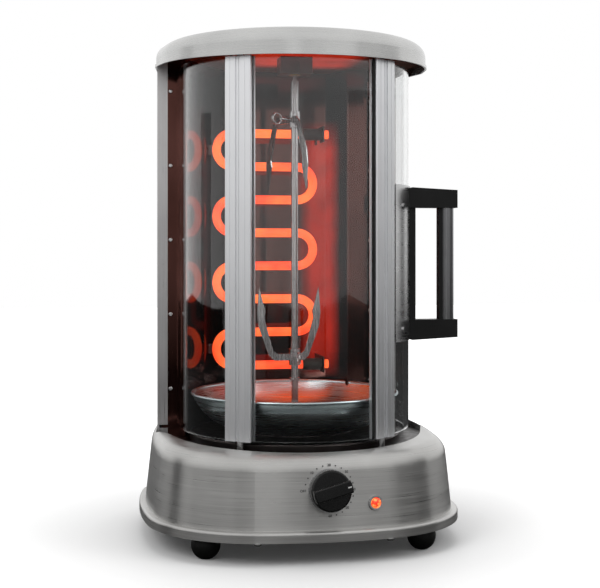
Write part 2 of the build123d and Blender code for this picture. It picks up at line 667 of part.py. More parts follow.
def post_plan():
    """Section of a post: face channel, a hollow core and a slot on each side for a pane."""
    outside = GLASS_RADIUS + POST_PROUD
    plan = Pos(0, -outside + POST_DEPTH / 2) * RectangleRounded(POST_WIDTH, POST_DEPTH, 1.2)
    channel = Pos(0, -outside + CHANNEL_DEPTH / 2) * Rectangle(CHANNEL_WIDTH, CHANNEL_DEPTH)
    rib = Pos(0, -outside + CHANNEL_DEPTH * 0.75) * Rectangle(1, CHANNEL_DEPTH / 2)
    plan = plan - channel + rib
    for x in (-POST_WIDTH * 0.29, POST_WIDTH * 0.29):
        plan -= Pos(x, -outside) * Rectangle(0.7, 0.8)
    plan -= Pos(0, -outside + POST_DEPTH - 3.6) * Rectangle(6, 3.2)
    slot_end = POST_HALF_ANGLE - SLOT_ANGLE - math.degrees(CLEAR / GLASS_RADIUS)
    for side in (-1, 1):
        plan -= arc_plan(GLASS_RADIUS + CLEAR, GLASS_INSIDE - CLEAR, side * slot_end, side * 20)
    return plan


def post(side):
    """One upright extrusion, turned to its place round the cylinder."""
    return Rot(0, 0, side * POST_ANGLE) * slab(post_plan(), POST_BOTTOM, POST_TOP)


def post_studs():
    """Studs that hold each post to the floor below and the ceiling above."""
    radius = GLASS_RADIUS + POST_PROUD - POST_DEPTH / 2
    studs = []
    for side in (-POST_ANGLE, POST_ANGLE):
        x, y = round_plan(side, radius)
        studs.append(cylinder(STUD_RADIUS, FLOOR_TOP, POST_BOTTOM, x, y))
        studs.append(cylinder(STUD_RADIUS, POST_TOP, CEILING_Z, x, y))
    return studs


# ================================================================ door
def door_shoe(low, high, pin_end):
    """Hinge shoe: grips the pane's rear edge, with an arm out to a pivot pin."""
    grip = arc_plan(GLASS_RADIUS + SHOE_WALL, GLASS_INSIDE - SHOE_WALL,
                    DOOR_HINGE_ANGLE - SHOE_ARC, DOOR_HINGE_ANGLE + 1.2)
    angle = 90 + math.degrees(math.atan2(PIVOT_Y, PIVOT_X))
    reach = math.hypot(PIVOT_X, PIVOT_Y)
    root = [round_plan(angle + turn, GLASS_RADIUS + 1) for turn in (-3.5, 4.5)]
    arm = make_face(Polyline(root[0], root[1], round_plan(angle + 2.6, reach),
                             round_plan(angle - 2.6, reach), close=True))
    plan = grip + arm + Pos(PIVOT_X, PIVOT_Y) * Circle(5.8)
    shoe = slab(plan, low, high) - pane(DOOR_FREE_ANGLE, DOOR_HINGE_ANGLE, DOOR_BOTTOM, DOOR_TOP)
    return shoe + cylinder(PIVOT_RADIUS, min(low, pin_end), max(high, pin_end), PIVOT_X, PIVOT_Y)


def pivot_block(low, high):
    """Bush in the frame that a door pin turns in."""
    return tube(6, PIVOT_RADIUS + PIVOT_FIT, low, high, PIVOT_X, PIVOT_Y)


def clamp_plate(outer, inner):
    """Curved plate that clamps the handle to the pane."""
    return slab(arc_plan(outer, inner, CLAMP_START, CLAMP_END), CLAMP_LOW, CLAMP_HIGH)


CLAMP_OUTSIDE = GLASS_RADIUS + CLAMP


def handle_bracket(inner_z, out):
    """Black arm from the pane to the grip, lower at its tip; out is +1 above, -1 below."""
    half = HANDLE_THICK / 2
    root_x = GLASS_RADIUS - 12
    side = make_face(Polyline(
        (root_x, inner_z), (HANDLE_TIP_X, inner_z),
        (HANDLE_TIP_X, inner_z + out * BRACKET_TIP), (root_x + 8, inner_z + out * BRACKET_ROOT),
        (root_x, inner_z + out * (BRACKET_ROOT - 2.5)), close=True))
    arm = Pos(0, HANDLE_Y + half) * extrude(Plane.XZ * side, HANDLE_THICK)
    upright = arm.edges().filter_by(Axis.Z).sort_by(Axis.X)[-2:]
    arm = fillet(upright, 1.5)
    return arm - slab(Circle(CLAMP_OUTSIDE), CLAMP_LOW - 10, CLAMP_HIGH + 10)


def grip_tube():
    """Steel tube between the two brackets."""
    tube_body = tube(GRIP_RADIUS, GRIP_RADIUS - 1.2, BRACKET_INNER_LOW, BRACKET_INNER_HIGH, GRIP_X, HANDLE_Y)
    return tube_body


def grip_strip():
    """Black strip along the inner side of the grip tube."""
    x = GRIP_X - GRIP_RADIUS
    strip = box(x - STRIP_THICK, x + 3, HANDLE_Y - STRIP_WIDTH / 2, HANDLE_Y + STRIP_WIDTH / 2,
                BRACKET_INNER_LOW, BRACKET_INNER_HIGH)
    return strip - cylinder(GRIP_RADIUS, BRACKET_INNER_LOW, BRACKET_INNER_HIGH, GRIP_X, HANDLE_Y)


def handle_strut():
    """Black bar against the clamp plate, from one bracket to the other."""
    edge_x = math.sqrt(CLAMP_OUTSIDE ** 2 - HANDLE_Y ** 2)
    bar = box(edge_x - 3, edge_x + STRUT, HANDLE_Y - 5, HANDLE_Y + 5, BRACKET_INNER_LOW, BRACKET_INNER_HIGH)
    return bar - slab(Circle(CLAMP_OUTSIDE), BRACKET_INNER_LOW, BRACKET_INNER_HIGH)


CLAMP_INSIDE = GLASS_INSIDE - CLAMP


def handle_screws():
    """Screw heads inside the pane and on the outer clamp plate."""
    screws = []
    for z in (CLAMP_LOW + 11, CLAMP_HIGH - 20):
        for angle, inner, outer in ((55, CLAMP_OUTSIDE, CLAMP_OUTSIDE + 1.3),
                                    (71, CLAMP_INSIDE - 1.6, CLAMP_INSIDE)):
            head = Rot(0, 0, angle) * (Pos(0, -inner + 0.3, z) * (Rot(90, 0, 0) * extrude(
                Circle(2.6), outer - inner + 0.3)))
            keep_out = slab(Circle(CLAMP_OUTSIDE) - Circle(CLAMP_INSIDE), CLAMP_LOW, CLAMP_HIGH)
            screws.append(head - keep_out)
    return screws


# ================================================================ heater
def element_path():
    """Centre line of the heater, from its upper to its lower cold end."""
    z = ELEMENT_TOP
    bend = ELEMENT_PITCH / 2
    line = Line((COLD_END_X, ELEMENT_Y, z), (BEND_LEFT_X, ELEMENT_Y, z))
    for run in range(1, ELEMENT_RUNS):
        left = run % 2 == 1
        x = BEND_LEFT_X if left else BEND_RIGHT_X
        reach = x - bend if left else x + bend
        last = run == ELEMENT_RUNS - 1
        end_x = COLD_END_X if last else (BEND_RIGHT_X if left else BEND_LEFT_X)
        line += ThreePointArc((x, ELEMENT_Y, z), (reach, ELEMENT_Y, z - bend),
                              (x, ELEMENT_Y, z - ELEMENT_PITCH))
        z -= ELEMENT_PITCH
        line += Line((x, ELEMENT_Y, z), (end_x, ELEMENT_Y, z))
    return line


ELEMENT_LOW = ELEMENT_TOP - (ELEMENT_RUNS - 1) * ELEMENT_PITCH


def heating_element():
    """Sheathed heater bent to and fro."""
    path = element_path()
    section = Plane(origin=path @ 0, z_dir=path % 0) * Circle(ELEMENT_RADIUS)
    return sweep(section, path=path)


def along_x(outer, inner, x0, x1, z):
    """Ring along X round one end of the heater."""
    plan = Circle(outer) - Circle(inner) if inner else Circle(outer)
    return Plane(origin=(x0, ELEMENT_Y, z), z_dir=(1, 0, 0)) * extrude(plan, x1 - x0)


def element_sleeves():
    """Ceramic sleeves on the two cold ends."""
    inner = ELEMENT_RADIUS + 0.05
    return [along_x(inner + SLEEVE_WALL, inner, SLEEVE_START_X, SLEEVE_END_X, z)
            for z in (ELEMENT_TOP, ELEMENT_LOW)]


def cold_end_brackets():
    """Bent plates that carry the cold ends off the liner's back."""
    plates = []
    for z in (ELEMENT_TOP, ELEMENT_LOW):
        plate = box(SLEEVE_END_X, SLEEVE_END_X + 1.5, ELEMENT_Y - 9, LINER_BACK, z - 8, z + 8)
        plate += box(SLEEVE_END_X, SLEEVE_END_X + 14, LINER_BACK - 1.5, LINER_BACK, z - 8, z + 8)
        plate -= along_x(ELEMENT_RADIUS + 0.1, 0, SLEEVE_END_X - 1, SLEEVE_END_X + 3, z)
        plate -= box(SLEEVE_END_X - 1, SLEEVE_END_X + 3, ELEMENT_Y + 8, LINER_BACK - 10, z - 9, z + PAN_NOTCH)
        plates.append(plate)
    return plates


def bend_brackets():
    """Strips from the left cheek of the liner to behind the outer bends."""
    behind = ELEMENT_Y + ELEMENT_RADIUS
    slope = (LINER_HALF_FRONT - LINER_HALF_BACK) / (LINER_BACK - HOUSING_FRONT - HOUSING_SHEET)
    strips = []
    for z in (ELEMENT_TOP - ELEMENT_PITCH / 2, ELEMENT_LOW + ELEMENT_PITCH / 2):
        y0, y1 = behind + 0.1, behind + 1.6
        wall = [-(LINER_HALF_BACK + slope * (LINER_BACK - y)) for y in (y0, y1, y0 - 12)]
        plan = make_face(Polyline(
            (BEND_LEFT_X - ELEMENT_PITCH / 2 + 3, y0), (BEND_LEFT_X - ELEMENT_PITCH / 2 + 3, y1),
            (wall[1], y1), (wall[2], y0 - 12), (wall[2] + 1.5, y0 - 12), (wall[0] + 1.5, y0), close=True))
        strips.append(slab(plan, z - 5, z + 5))
    return strips


# ================================================================ skewer, forks, pan
def skewer_rod():
    """Rod with a square foot, a stop collar and a pivot pin on top."""
    half = ROD_SQUARE / 2
    foot = box(-half, half, -half, half, ROD_BOTTOM, ROD_COLLAR_Z)
    foot = chamfer(foot.faces().sort_by(Axis.Z)[0].edges(), 0.8)
    rod = foot + cylinder(ROD_RADIUS, ROD_COLLAR_Z, ROD_TOP)
    rod += cylinder(ROD_RADIUS + 1.4, ROD_COLLAR_Z - 1, ROD_COLLAR_Z + 1)
    pin = cylinder(PIN_RADIUS, ROD_TOP, PIN_TOP)
    pin = chamfer(pin.edges().filter_by(GeomType.CIRCLE).sort_by(Axis.Z)[-1:], 0.8)
    return rod + pin


def skewer_sleeve():
    """Sleeve between the upper fork and the pin."""
    return tube(SLEEVE_RADIUS, PIN_RADIUS, ROD_TOP, SLEEVE_TOP)


def fork_outline():
    """Stamped fork seen from the front, standing on its bar, middle at zero."""
    right = [(0, 0), (14, 0), (19.5, 5), (29.5, 33), (31, 46), (29.2, 71),
             (25.5, 57), (23, 48), (24, 41), (15.5, 10), (11, 6.5), (0, 6.5)]
    left = [(-x, z) for x, z in reversed(right[1:-1])]
    return make_face(Polyline(*right, *left, close=True))


FORK_BAR_Z = 4.7            # height of the bar over the foot of the hub


def fork():
    """Fork that stands on zero round the rod, screw hole towards -Y."""
    plate_y = -ROD_RADIUS - 0.2
    plate = Pos(FORK_OFFSET, plate_y, FORK_BAR_Z) * extrude(Plane.XZ * fork_outline(), FORK_SHEET)
    hub = cylinder(FORK_HUB_RADIUS, 0, FORK_HUB_HEIGHT)
    body = plate + hub
    body -= cylinder(ROD_RADIUS + FORK_FIT, -1, FORK_HUB_HEIGHT + 1)
    return body - screw_line(SCREW_RADIUS + FORK_FIT, 0, FORK_HUB_RADIUS + 3)


SCREW_Z = 8.0


def screw_line(radius, start, end):
    """Cylinder along the fork's screw axis, from start to end out from the rod."""
    return Pos(0, -start, SCREW_Z) * (Rot(90, 0, 0) * extrude(Circle(radius), end - start))


def fork_screw():
    """Thumb screw with a ring for a head."""
    tip = ROD_RADIUS + 0.15
    stem = screw_line(SCREW_RADIUS, tip, RING_REACH - RING_RADIUS)
    ring = Pos(0, -RING_REACH, SCREW_Z) * (Rot(0, 90, 0) * Torus(RING_RADIUS, RING_WIRE))
    return stem + ring


def lower(piece):
    """Place a fork piece on the lower part of the rod."""
    return Pos(0, 0, LOWER_FORK_Z) * piece


def upper(piece):
    """Place a fork piece upside down at the top of the rod."""
    return Pos(0, 0, UPPER_FORK_Z) * (Rot(0, 0, UPPER_FORK_TURN) * mirror(piece, Plane.XY))


def drip_pan():
    """Spun bowl with a rolled rim and a collar round the spindle."""
    t = PAN_SHEET
    rim_x, rim_z = PAN_RADIUS - PAN_ROLL, PAN_RIM_Z - PAN_ROLL
    outer = ThreePointArc((PAN_BOTTOM_RADIUS, PAN_BOTTOM), (84.5, 110.5), (rim_x, rim_z - 1))
    inner = ThreePointArc((rim_x - t, rim_z - 1), (83.6, 111.3), (PAN_BOTTOM_RADIUS, PAN_BOTTOM + t))
    collar = PAN_BOTTOM + PAN_COLLAR
    outline = outer + inner + Polyline(
        inner @ 1, (PAN_HOLE + t, PAN_BOTTOM + t), (PAN_HOLE + t, collar), (PAN_HOLE, collar),
        (PAN_HOLE, PAN_BOTTOM), outer @ 0) + Line(outer @ 1, inner @ 0)
    bowl = revolve(Plane.XZ * make_face(outline), Axis.Z)
    roll = revolve(Plane.XZ * (Pos(rim_x, rim_z) * Circle(PAN_ROLL)), Axis.Z)
    return bowl + roll


# ================================================================ timer and lamp
def timer_body():
    """Clockwork timer behind the wall, with a threaded neck through it."""
    side = TIMER_SIDE
    back = -BASE_SHEET - 2.5
    case = KNOB_PLANE * (Pos(0, 0, back - TIMER_DEPTH / 2) * Box(side, side, TIMER_DEPTH))
    neck = on_plane(KNOB_PLANE, NECK_RADIUS, back, 3)
    return case + neck - on_plane(KNOB_PLANE, SHAFT_RADIUS + 0.08, back - 12, 4)


def timer_nut():
    """Hexagon nut under the knob that holds the timer."""
    plan = RegularPolygon(7, 6) - Circle(NECK_RADIUS)
    return KNOB_PLANE * (Pos(0, 0, 0.15) * extrude(plan, 2))


KNOB_CAVITY = 8.2


def timer_knob():
    """Round knob with a raised finger bar, hollow behind for the nut."""
    turn = 180 - KNOB_REST
    skirt = fillet(extrude(Circle(KNOB_RADIUS), KNOB_SKIRT).edges().sort_by(Axis.Z)[-1:], 1.6)
    bar_top = KNOB_SKIRT + KNOB_GRIP
    bar_plan = Circle(KNOB_RADIUS - 0.6) & Rectangle(2 * KNOB_RADIUS, KNOB_BAR)
    bar = extrude(bar_plan, bar_top)
    bar = Rot(0, 0, turn) * fillet(bar.faces().sort_by(Axis.Z)[-1].edges(), 1.2)
    knob = skirt + bar
    knob -= extrude(Circle(KNOB_CAVITY), 4.5)
    knob -= extrude(Circle(SHAFT_RADIUS), 12)
    return KNOB_PLANE * (Pos(0, 0, KNOB_LIFT) * knob)


def timer_shaft():
    """Shaft from the clockwork into the knob."""
    return on_plane(KNOB_PLANE, SHAFT_RADIUS, -BASE_SHEET - 12, KNOB_LIFT + 12)


def lamp_lens():
    """Domed lens of the power lamp."""
    dome = Pos(0, 0, -LAMP_RADIUS * 0.55) * Sphere(LAMP_RADIUS * 1.15)
    dome &= extrude(Circle(LAMP_RADIUS - 0.8), LAMP_RADIUS)
    return LAMP_PLANE * (Pos(0, 0, 0.9) * dome)


def lamp_bezel():
    """Bright ring round the lens."""
    ring = extrude(Circle(LAMP_RADIUS + 0.9) - Circle(LAMP_RADIUS - 0.75), 1.6)
    ring = fillet(ring.edges().sort_by(Axis.Z)[-1:], 0.5)
    return LAMP_PLANE * (Pos(0, 0, 0.15) * ring)


def lamp_body():
    """Neon lamp holder behind the lens."""
    return on_plane(LAMP_PLANE, LAMP_RADIUS - 0.9, -20, 0.9)


def cable_gland():
    """Ribbed cable inlet in the base's rear wall."""
    body = on_plane(GLAND_PLANE, GLAND_RADIUS, 0.1, 4) + on_plane(GLAND_PLANE, GLAND_RADIUS - 2.3, -8, 7)
    body += on_plane(GLAND_PLANE, GLAND_RADIUS, -7, -4)
    return body - on_plane(GLAND_PLANE, GLAND_BORE, -9, 8)


def base_screws():
    """Screws up through the base's turned-in edge."""
    head = cylinder(3.2, RIM_Z - 1.8, RIM_Z)
    head = fillet(head.edges().sort_by(Axis.Z)[:1], 1)
    return [Pos(x, y) * head for x in (-58, 58) for y in (-142.2, 118.5)]


# ================================================================ write the sub-parts
def main():
    os.makedirs("parts", exist_ok=True)
    nodes = {
        "base_housing": base_housing(),
        "base_plate": base_plate(),
        "feet": feet(),
        "foot_screws": foot_screws(),
        "base_screws": base_screws(),
        "chamber_floor": chamber_floor(),
        "spindle_bush": spindle_bush(),
        "gear_motor": gear_motor(),
        "motor_bracket": motor_bracket(),
        "motor_screws": motor_screws(),
        "drive_spindle": drive_spindle(),
        "rear_housing": rear_housing(),
        "inner_liner": inner_liner(),
        "liner_rivets": liner_rivets(),
        "lid": lid(),
        "lid_screws": lid_screws(),
        "ceiling_plate": ceiling_plate(),
        "top_bracket": top_bracket(),
        "top_bush": top_bush(),
        "left_post": post(-1),
        "right_post": post(1),
        "post_studs": post_studs(),
        "left_glass": pane(SIDE_PANE_END, SIDE_PANE_START, GLASS_BOTTOM, GLASS_TOP),
        "front_glass": pane(-FRONT_PANE_ANGLE, FRONT_PANE_ANGLE, GLASS_BOTTOM, GLASS_TOP),
        "door_glass": pane(DOOR_FREE_ANGLE, DOOR_HINGE_ANGLE, DOOR_BOTTOM, DOOR_TOP),
        "upper_hinge_shoe": door_shoe(DOOR_TOP - SHOE_HEIGHT, DOOR_TOP + 1.2, CEILING_Z - 0.5),
        "lower_hinge_shoe": door_shoe(DOOR_BOTTOM - 1.2, DOOR_BOTTOM + SHOE_HEIGHT, FLOOR_TOP + 0.5),
        "upper_pivot": pivot_block(DOOR_TOP + 3, CEILING_Z),
        "lower_pivot": pivot_block(FLOOR_TOP, DOOR_BOTTOM - 1.5),
        "outer_clamp_plate": clamp_plate(CLAMP_OUTSIDE, GLASS_RADIUS),
        "inner_clamp_plate": clamp_plate(GLASS_INSIDE, CLAMP_INSIDE),
        "upper_handle_bracket": handle_bracket(BRACKET_INNER_HIGH, 1),
        "lower_handle_bracket": handle_bracket(BRACKET_INNER_LOW, -1),
        "grip_tube": grip_tube(),
        "grip_strip": grip_strip(),
        "handle_strut": handle_strut(),
        "handle_screws": handle_screws(),
        "heating_element": heating_element(),
        "element_sleeves": element_sleeves(),
        "cold_end_brackets": cold_end_brackets(),
        "bend_brackets": bend_brackets(),
        "skewer_rod": skewer_rod(),
        "skewer_sleeve": skewer_sleeve(),
        "lower_fork": lower(fork()),
        "lower_fork_screw": lower(fork_screw()),
        "upper_fork": upper(fork()),
        "upper_fork_screw": upper(fork_screw()),
        "drip_pan": drip_pan(),
        "timer_body": timer_body(),
        "timer_nut": timer_nut(),
        "timer_shaft": timer_shaft(),
        "timer_knob": timer_knob(),
        "lamp_lens": lamp_lens(),
        "lamp_bezel": lamp_bezel(),
        "lamp_body": lamp_body(),
        "cable_gland": cable_gland(),
    }
    to_middle = Pos(-MIDDLE_X, -MIDDLE_Y, 0)
    for node, shape in nodes.items():
        pieces = shape if isinstance(shape, list) else [shape]
        moved = [to_middle * piece for piece in pieces]
        save(node, Compound(children=moved) if len(moved) > 1 else moved[0])


main()
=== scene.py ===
# %% [markdown]
# An electric skewer grill stands on a table: a glass cylinder between a stamped steel
# base and a domed steel lid, with a glowing heater behind a turning skewer. The metal,
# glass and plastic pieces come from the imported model. This script gives them their
# finishes and adds what is only seen: the dial's print, the ring and mark of the knob,
# the reflector's slanted corners and a thin seal.

# %% Load the model
import math

import bmesh
import bpy
from mathutils import Matrix, Vector


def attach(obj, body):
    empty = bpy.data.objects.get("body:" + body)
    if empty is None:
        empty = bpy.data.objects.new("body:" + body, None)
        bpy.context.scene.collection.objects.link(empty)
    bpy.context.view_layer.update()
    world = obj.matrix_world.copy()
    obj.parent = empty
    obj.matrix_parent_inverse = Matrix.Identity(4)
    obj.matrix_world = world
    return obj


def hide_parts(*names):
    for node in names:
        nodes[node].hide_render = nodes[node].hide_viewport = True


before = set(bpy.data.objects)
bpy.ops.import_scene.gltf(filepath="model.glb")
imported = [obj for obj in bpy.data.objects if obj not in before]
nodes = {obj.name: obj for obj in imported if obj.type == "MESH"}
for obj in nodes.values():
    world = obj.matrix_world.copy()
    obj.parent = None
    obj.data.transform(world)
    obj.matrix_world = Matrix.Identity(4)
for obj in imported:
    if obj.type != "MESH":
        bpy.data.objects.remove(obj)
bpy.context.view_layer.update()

# %% [markdown]
# The camera comes first, so every later choice can be judged from where the picture is
# taken. The uprights of the real grill stay upright in the picture, which means the
# camera was level. A level camera with a shifted lens keeps them so, where tilting the
# camera would lean them.

# %% Camera
YAW = math.radians(10.4)
DISTANCE = 1.2                          # metres from the skewer's axis
EYE_HEIGHT = 0.271
AXIS_X, AXIS_Y = -0.001003, 0.016901    # where the skewer stands
PICTURE_WIDTH = 600                     # pixels, as are the next two lines
FOCAL_LENGTH = 1237
SHIFT_RIGHT, SHIFT_UP = 5.4, -46.0
SENSOR_WIDTH = 36.0                     # millimetres

camera_data = bpy.data.cameras.new("camera")
camera_data.sensor_width = SENSOR_WIDTH
camera_data.lens = SENSOR_WIDTH * FOCAL_LENGTH / PICTURE_WIDTH
camera_data.shift_x = SHIFT_RIGHT / PICTURE_WIDTH
camera_data.shift_y = SHIFT_UP / PICTURE_WIDTH
camera_data.clip_end = 20
camera = bpy.data.objects.new("camera", camera_data)
bpy.context.collection.objects.link(camera)
camera.location = (AXIS_X - DISTANCE * math.sin(YAW),
                   AXIS_Y - DISTANCE * math.cos(YAW), EYE_HEIGHT)
camera.rotation_euler = (math.radians(90), 0, -YAW)
bpy.context.scene.camera = camera
bpy.context.scene.view_settings.view_transform = "Standard"

# %% [markdown]
# Polished and brushed metal looks like what stands around it. The room here is white,
# with a row of grey cards on the camera's side, as a product studio would have, each
# darker at its foot, and a nearly white one in line with the camera. They give the round
# steel its bright and dark bands. Cards and screen show only in reflections. The floor
# is paler to the camera than to the metal, so it doesn't wash out the base: to the metal
# and to bounced light it is nearly black, a painted dark reflection in the base's lower
# wall. Its glow to the camera is faint beside the base, a painted shade round the base.

# %% Room, floor and lamps
def wire(tree, *pairs):
    """Join sockets, given as (from, to) pairs."""
    for start, end in pairs:
        tree.links.new(start, end)


def calculate(tree, operation, *values):
    """The result of a math node. Each value is a socket or a number."""
    node = tree.nodes.new("ShaderNodeMath")
    node.operation = operation
    for socket, value in zip(node.inputs, values):
        if isinstance(value, (int, float)):
            socket.default_value = value
        else:
            wire(tree, (value, socket))
    return node.outputs[0]


def remap(tree, value, low, high, start=0.3, end=0.7):
    """Stretch a value from start and end, where noise mostly lies, to low and high."""
    node = tree.nodes.new("ShaderNodeMapRange")
    node.inputs["From Min"].default_value = start
    node.inputs["From Max"].default_value = end
    node.inputs["To Min"].default_value = low
    node.inputs["To Max"].default_value = high
    wire(tree, (value, node.inputs["Value"]))
    return node.outputs[0]


def position(tree):
    """Point on the piece in metres, from the object's own coordinates."""
    return tree.nodes.new("ShaderNodeTexCoord").outputs["Object"]


def background(tree, strength):
    """A plain white background of some strength."""
    node = tree.nodes.new("ShaderNodeBackground")
    node.inputs["Color"].default_value = (1, 1, 1, 1)
    node.inputs["Strength"].default_value = strength
    return node.outputs[0]


AMBIENT = 0.5
world = bpy.data.worlds.new("white_room")
bpy.context.scene.world = world
world.use_nodes = True
tree = world.node_tree
tree.nodes.clear()
path = tree.nodes.new("ShaderNodeLightPath")
rays = [path.outputs[f"Is {kind} Ray"] for kind in ("Camera", "Transmission", "Glossy")]
seen = calculate(tree, "MAXIMUM", calculate(tree, "MAXIMUM", rays[0], rays[1]), rays[2])
choose = tree.nodes.new("ShaderNodeMixShader")
out = tree.nodes.new("ShaderNodeOutputWorld")
wire(tree,
     (seen, choose.inputs[0]),
     (background(tree, AMBIENT), choose.inputs[1]),
     (background(tree, 1.0), choose.inputs[2]),
     (choose.outputs[0], out.inputs["Surface"]))


def new_material(name):
    """An empty node material and its Principled shader."""
    material = bpy.data.materials.new(name)
    material.use_nodes = True
    return material, material.node_tree, material.node_tree.nodes["Principled BSDF"]


def new_mesh(name, mesh, material):
    """An object from a bmesh, with one material."""
    data = bpy.data.meshes.new(name)
    mesh.to_mesh(data)
    mesh.free()
    piece = bpy.data.objects.new(name, data)
    bpy.context.collection.objects.link(piece)
    data.materials.append(material)
    return piece


def sheet_of(name, width, height, where, facing, material):
    """A flat rectangle that faces a point, for the floor, the cards and the screen."""
    mesh = bmesh.new()
    bmesh.ops.create_grid(mesh, x_segments=1, y_segments=1, size=0.5)
    bmesh.ops.scale(mesh, vec=(width, height, 1), verts=mesh.verts)
    piece = new_mesh(name, mesh, material)
    piece.location = where
    direction = Vector(facing) - Vector(where)
    piece.rotation_euler = direction.to_track_quat("Z", "Y").to_euler()
    return piece


GLOW_NEAR, GLOW_FAR = 0.02, 0.75        # the floor's glow beside the base and far off; faint beside the base: painted shade
NEAR, FAR = 0.13, 0.55
floor_finish, tree, shader = new_material("floor_white")
shader.inputs["Base Color"].default_value = (0.83, 0.83, 0.83, 1)
shader.inputs["Roughness"].default_value = 0.6
# nearly black floor for every ray but the camera's: painted dark reflection in the metal
dim_floor = tree.nodes.new("ShaderNodeBsdfDiffuse")
dim_floor.inputs["Color"].default_value = (0.05, 0.05, 0.05, 1)
spread = tree.nodes.new("ShaderNodeVectorMath")
spread.operation = "LENGTH"
wire(tree, (position(tree), spread.inputs[0]))
glow = tree.nodes.new("ShaderNodeEmission")
glow.inputs["Color"].default_value = (1, 1, 1, 1)
add = tree.nodes.new("ShaderNodeAddShader")
path = tree.nodes.new("ShaderNodeLightPath")
lit = tree.nodes.new("ShaderNodeMixShader")
glow_here = remap(tree, spread.outputs["Value"], GLOW_NEAR, GLOW_FAR, NEAR, FAR)
wire(tree,
     (glow_here, glow.inputs["Strength"]),
     (shader.outputs[0], add.inputs[0]),
     (glow.outputs[0], add.inputs[1]),
     (path.outputs["Is Camera Ray"], lit.inputs[0]),
     (dim_floor.outputs[0], lit.inputs[1]),
     (add.outputs[0], lit.inputs[2]),
     (lit.outputs[0], tree.nodes["Material Output"].inputs["Surface"]))
floor = sheet_of("floor", 9, 9, (0, 0, -0.0002), (0, 0, 1), floor_finish)


def stand_round(name, angle, distance, width, height, middle, finish):
    """An upright sheet at an angle in degrees from the camera, seen only in reflections."""
    turn = YAW - math.radians(angle)
    where = (-distance * math.sin(turn), -distance * math.cos(turn), middle)
    piece = sheet_of(name, width, height, where, (0, 0, middle), finish)
    piece.visible_camera = False
    piece.visible_shadow = False
    piece.visible_diffuse = False
    piece.visible_transmission = False


def card_finish(name, height, low, high):
    """Grey light that grows from low at the card's foot to high at its middle."""
    finish = bpy.data.materials.new(name)
    finish.use_nodes = True
    tree = finish.node_tree
    tree.nodes.clear()
    parts = tree.nodes.new("ShaderNodeSeparateXYZ")
    glow = tree.nodes.new("ShaderNodeEmission")
    out = tree.nodes.new("ShaderNodeOutputMaterial")
    wire(tree,
         (position(tree), parts.inputs[0]),
         (remap(tree, parts.outputs["Y"], low, high, -height / 2, 0), glow.inputs["Strength"]),
         (glow.outputs[0], out.inputs["Surface"]))
    return finish


CARD_DISTANCE = 1.55
CARD_HEIGHT = 0.6
CARDS = (                               # angle, width, light at the foot and higher up
    (-62, 0.62, 0.36, 0.80),
    (-39, 0.62, 0.30, 0.80),
    (-16, 0.55, 0.10, 0.75),
    (1, 0.24, 0.80, 1.20),
    (18, 0.55, 0.06, 0.72),
    (41, 0.62, 0.22, 0.85),
    (64, 0.62, 0.03, 0.30),
    (87, 0.62, 0.03, 0.15),
)
for index, (angle, width, low, high) in enumerate(CARDS):
    name = f"grey_card_{index}"
    stand_round(name, angle, CARD_DISTANCE, width, CARD_HEIGHT, CARD_HEIGHT / 2,
                card_finish(name, CARD_HEIGHT, low, high))

screen_finish, tree, shader = new_material("dark_screen")
shader.inputs["Base Color"].default_value = (0.012, 0.012, 0.013, 1)
shader.inputs["Roughness"].default_value = 0.9
stand_round("screen_left", -96, 1.5, 0.4, 0.5, 0.3, screen_finish)


def lamp(name, where, facing, size, power):
    """A large soft lamp aimed at a point, which metal doesn't mirror."""
    data = bpy.data.lights.new(name, "AREA")
    data.shape = "RECTANGLE"
    data.size, data.size_y = size
    data.energy = power
    piece = bpy.data.objects.new(name, data)
    bpy.context.collection.objects.link(piece)
    piece.location = where
    piece.visible_glossy = False
    direction = Vector(facing) - Vector(where)
    piece.rotation_euler = direction.to_track_quat("-Z", "Y").to_euler()


lamp("softbox_left", (-1.1, -0.9, 1.3), (0, 0, 0.25), (0.8, 1.0), 11)
lamp("softbox_right", (1.2, -0.7, 1.1), (0, 0, 0.2), (0.7, 1.0), 7)
lamp("softbox_top", (0, 0.1, 1.9), (0, 0, 0.3), (1.2, 1.2), 9)
print("cards round the grill", len(CARDS))

# %% [markdown]
# The base and lid are stainless sheet, brushed along its length. A brushed finish is
# thousands of fine parallel scratches, so its reflections smear across them: upwards and
# downwards here, which is what the shader's anisotropy does. A stretched noise gives the
# scratches in both the bump and the roughness, and a broad faint noise gives the cloudy
# patches that handling leaves.

# %% Metal finishes
def noise(tree, scale, detail=3.0, stretch=(1, 1, 1)):
    """Noise whose grain is scale per metre, finer along the axes with a large stretch."""
    mapping = tree.nodes.new("ShaderNodeMapping")
    mapping.inputs["Scale"].default_value = stretch
    texture = tree.nodes.new("ShaderNodeTexNoise")
    texture.inputs["Scale"].default_value = scale
    texture.inputs["Detail"].default_value = detail
    wire(tree, (position(tree), mapping.inputs["Vector"]),
         (mapping.outputs[0], texture.inputs["Vector"]))
    return texture.outputs["Fac"]


def shades(tree, value, dark, light):
    """Colour between two shades, by a value from 0 to 1."""
    ramp = tree.nodes.new("ShaderNodeValToRGB")
    for element, place, colour in zip(ramp.color_ramp.elements, (0.3, 0.7), (dark, light)):
        element.color = (*colour, 1)
        element.position = place
    wire(tree, (value, ramp.inputs["Fac"]))
    return ramp.outputs["Color"]


def bump(tree, shader, value, depth):
    """Raise the surface by a value, at most depth metres."""
    node = tree.nodes.new("ShaderNodeBump")
    node.inputs["Strength"].default_value = 0.6
    node.inputs["Distance"].default_value = depth
    wire(tree, (value, node.inputs["Height"]), (node.outputs[0], shader.inputs["Normal"]))


SCRATCH_SHARE, CLOUD_SHARE = 0.55, 0.45


